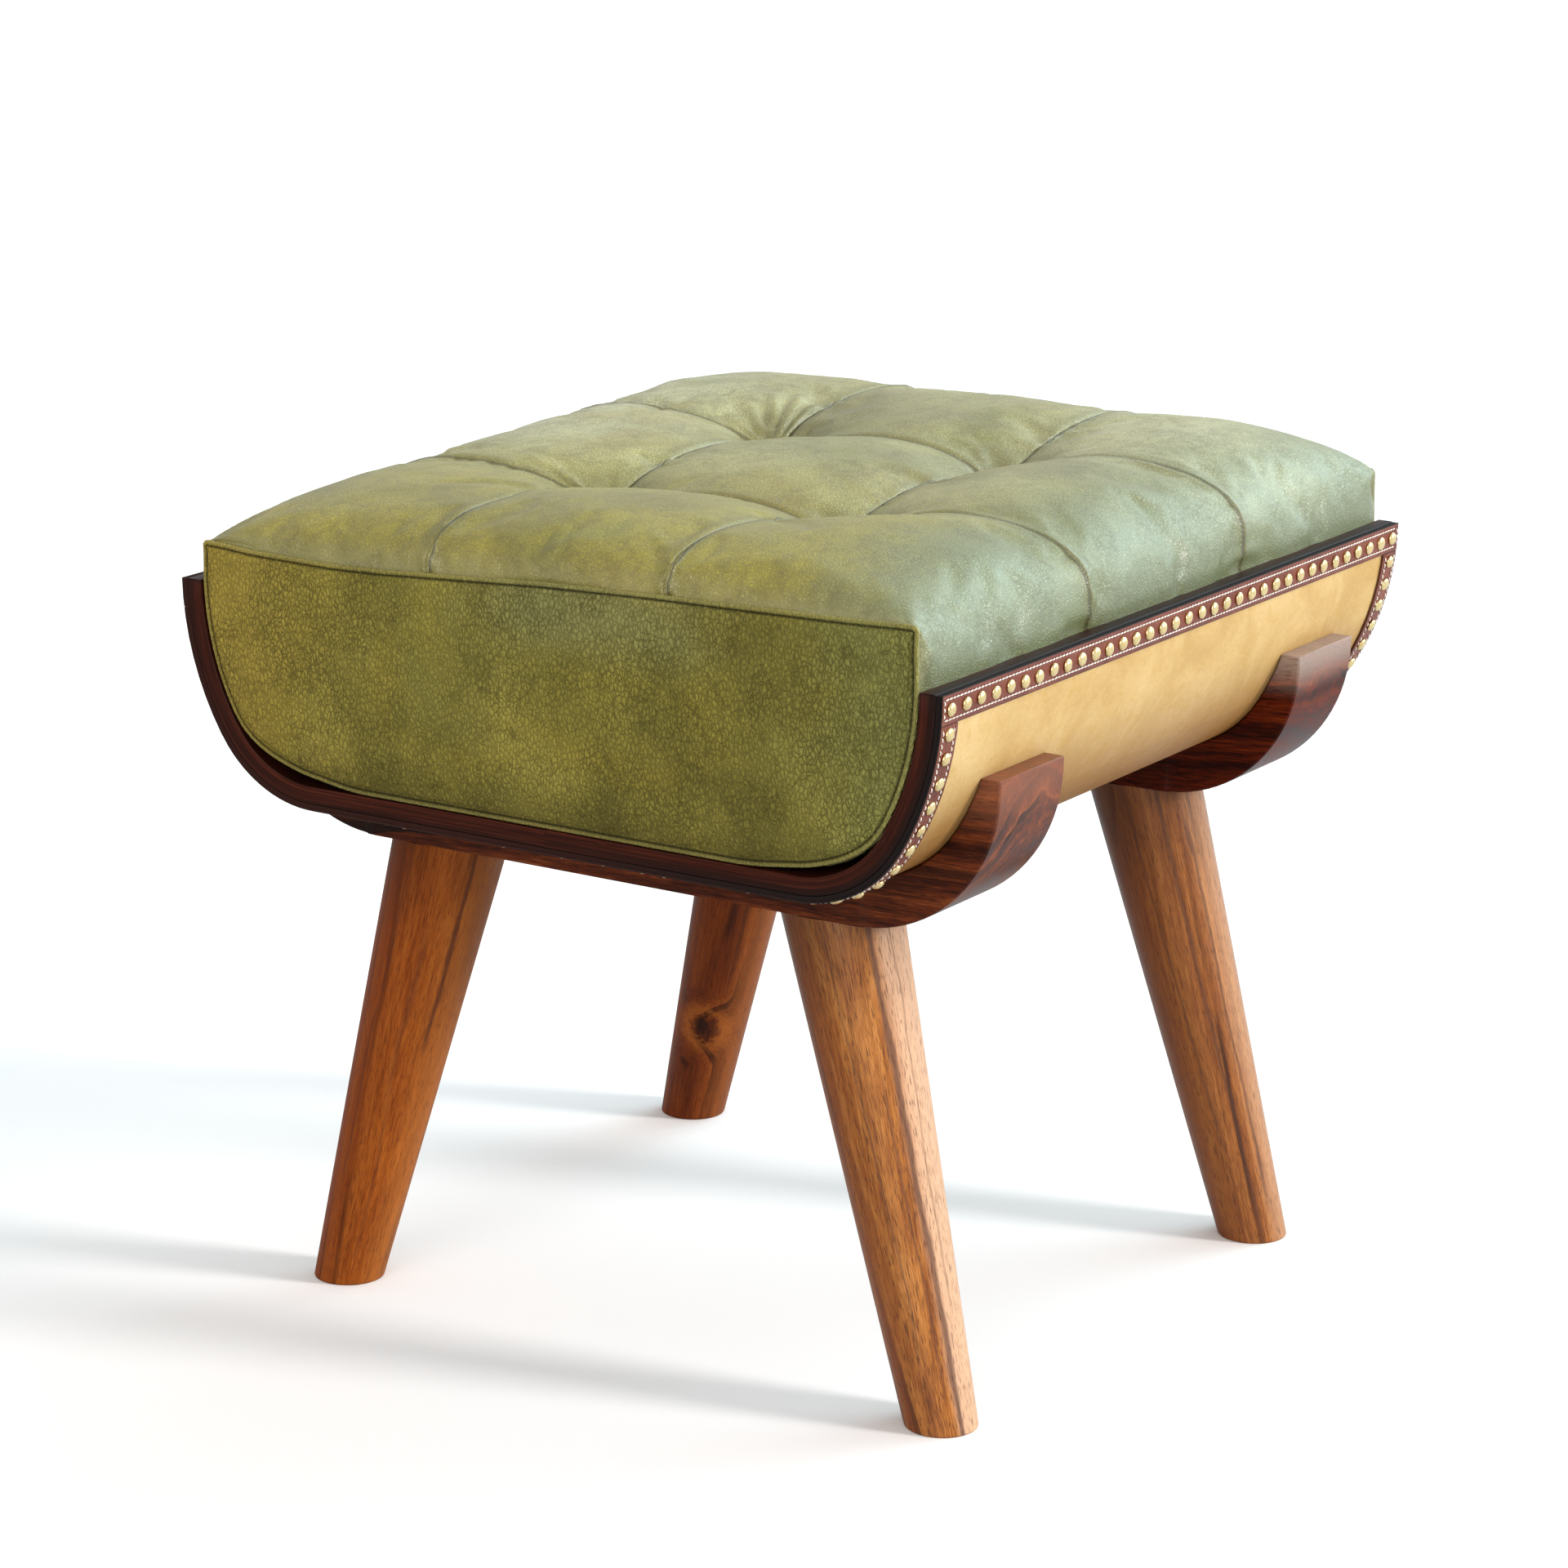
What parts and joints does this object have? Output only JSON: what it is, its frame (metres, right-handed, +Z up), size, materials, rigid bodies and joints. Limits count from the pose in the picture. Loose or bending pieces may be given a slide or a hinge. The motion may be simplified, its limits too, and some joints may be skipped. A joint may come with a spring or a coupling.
{
  "type": "upholstered stool",
  "caption": "Low stool with a tufted leather cushion in a bent wooden cradle, leather-clad and edged with dome nails, on curved cross rails and splayed tapered legs.",
  "frame": {"origin": "on the floor, under the middle of the seat", "axes": "+X along the cross rails, left to right; +Y from the open front end of the cradle to its back end; +Z up"},
  "size_m": [0.4642, 0.4676, 0.4501],
  "materials": {
    "shell_wood": "dark red-brown laminated hardwood, oiled satin",
    "rail_wood": "figured red-brown rosewood, satin lacquer",
    "leg_wood": "golden brown open-pored hardwood, satin oil",
    "board_wood": "raw birch plywood",
    "tan_leather": "vegetable-tanned tan hide, waxed",
    "brown_leather": "red-brown strap leather with pale stitching",
    "green_leather": "olive green leather with a rubbed patina",
    "nail_brass": "polished pale brass dome",
    "insert_brass": "turned brass",
    "steel": "zinc-plated",
    "foam": "open-cell upholstery foam",
    "twine": "waxed linen twine"
  },
  "bodies": {
    "root": {"cradle_shell": "shell_wood", "outer_leather": "tan_leather", "trim_rim_left": "brown_leather", "trim_rim_right": "brown_leather", "trim_front_edge": "brown_leather", "trim_back_edge": "brown_leather", "nails_rim_left": "nail_brass", "nails_rim_right": "nail_brass", "nails_front_edge": "nail_brass", "nails_back_edge": "nail_brass", "front_rail": "rail_wood", "back_rail": "rail_wood", "leg_front_left": "leg_wood", "leg_front_right": "leg_wood", "leg_back_left": "leg_wood", "leg_back_right": "leg_wood", "leg_bolts": "steel", "leg_inserts": "insert_brass", "rail_screws": "steel", "seat_board": "board_wood", "seat_screws": "steel", "foam_core": "foam", "seat_leather": "green_leather", "front_panel_leather": "green_leather", "back_panel_leather": "green_leather", "front_welt": "green_leather", "back_welt": "green_leather", "tuft_ties": "twine", "tuft_washers": "steel"}
  },
  "joints": []
}
